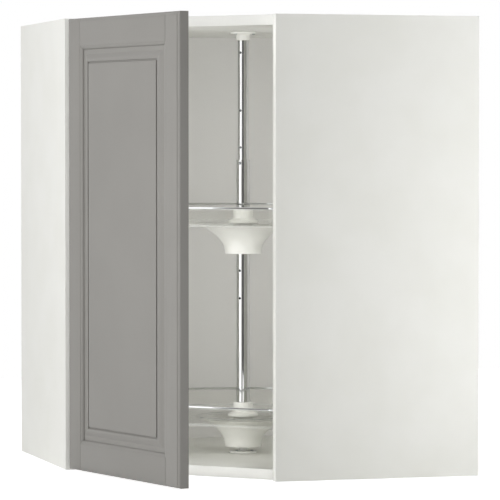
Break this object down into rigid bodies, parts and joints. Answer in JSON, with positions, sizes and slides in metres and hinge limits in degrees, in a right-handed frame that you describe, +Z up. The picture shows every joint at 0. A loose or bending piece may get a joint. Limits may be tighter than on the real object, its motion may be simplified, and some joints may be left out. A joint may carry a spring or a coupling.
{
  "type": "corner carousel cabinet",
  "caption": "Diagonal corner wall cabinet with a framed grey door on concealed hinges and clear round trays turning on a chrome pole.",
  "frame": {"origin": "the carousel's axis at the underside of the bottom board", "axes": "+Z up along the carousel's axis; the room's walls lie on -X and on +Y; the door faces +X and -Y"},
  "size_m": [0.7633, 0.668, 0.8],
  "materials": {
    "white_board": "white foil on particleboard, matt",
    "grey_door": "warm grey lacquer foil, satin",
    "dowel_beech": "plain beech",
    "zinc_steel": "zinc plated",
    "nickel_steel": "nickel plated",
    "chrome_plate": "polished chrome plate",
    "clear_plastic": "clear, polished",
    "white_plastic": "moulded, satin"
  },
  "bodies": {
    "cabinet": {"side_board_left": "white_board", "side_board_right": "white_board", "bottom_board": "white_board", "top_board": "white_board", "back_board_left": "white_board", "back_board_right": "white_board", "corner_batten": "white_board", "dowel_left_bottom_front": "dowel_beech", "dowel_left_bottom_rear": "dowel_beech", "dowel_left_top_front": "dowel_beech", "dowel_left_top_rear": "dowel_beech", "dowel_right_bottom_front": "dowel_beech", "dowel_right_bottom_rear": "dowel_beech", "dowel_right_top_front": "dowel_beech", "dowel_right_top_rear": "dowel_beech", "suspension_hook_left": "zinc_steel", "suspension_hook_right": "zinc_steel", "hinge_arm_lower": "nickel_steel", "hinge_arm_upper": "nickel_steel", "hinge_plate_lower": "nickel_steel", "hinge_plate_upper": "nickel_steel", "arm_screw_lower": "nickel_steel", "arm_screw_upper": "nickel_steel", "plate_screw_lower_a": "nickel_steel", "plate_screw_lower_b": "nickel_steel", "plate_screw_upper_a": "nickel_steel", "plate_screw_upper_b": "nickel_steel", "top_bearing": "white_plastic", "bottom_bearing": "white_plastic"},
    "door": {"door_stile_left": "grey_door", "door_stile_right": "grey_door", "door_rail_bottom": "grey_door", "door_rail_top": "grey_door", "door_panel": "grey_door", "hinge_cup_lower": "nickel_steel", "hinge_cup_upper": "nickel_steel", "hinge_pin_lower": "nickel_steel", "hinge_pin_upper": "nickel_steel", "cup_screw_lower_a": "nickel_steel", "cup_screw_lower_b": "nickel_steel", "cup_screw_upper_a": "nickel_steel", "cup_screw_upper_b": "nickel_steel"},
    "carousel": {"pole_outer_tube": "chrome_plate", "pole_inner_tube": "chrome_plate", "pole_lock_pin": "zinc_steel", "pole_foot_plug": "white_plastic", "tray_lower": "clear_plastic", "tray_upper": "clear_plastic", "tray_rail_lower": "chrome_plate", "tray_rail_upper": "chrome_plate", "tray_hub_lower": "white_plastic", "tray_hub_upper": "white_plastic", "hub_collar_lower": "white_plastic", "hub_collar_upper": "white_plastic", "hub_pin_lower": "zinc_steel", "hub_pin_upper": "zinc_steel"}
  },
  "joints": [
    {"name": "door_hinge", "type": "hinge", "parent": "cabinet", "child": "door", "pos_m": [0.07076, -0.32183, 0.4], "axis": [0, 0, -1], "range_deg": [-30.25, 74.75]},
    {"name": "carousel_turn", "type": "hinge", "parent": "cabinet", "child": "carousel", "pos_m": [0, 0, 0.4], "axis": [0, 0, 1], "continuous": true}
  ]
}
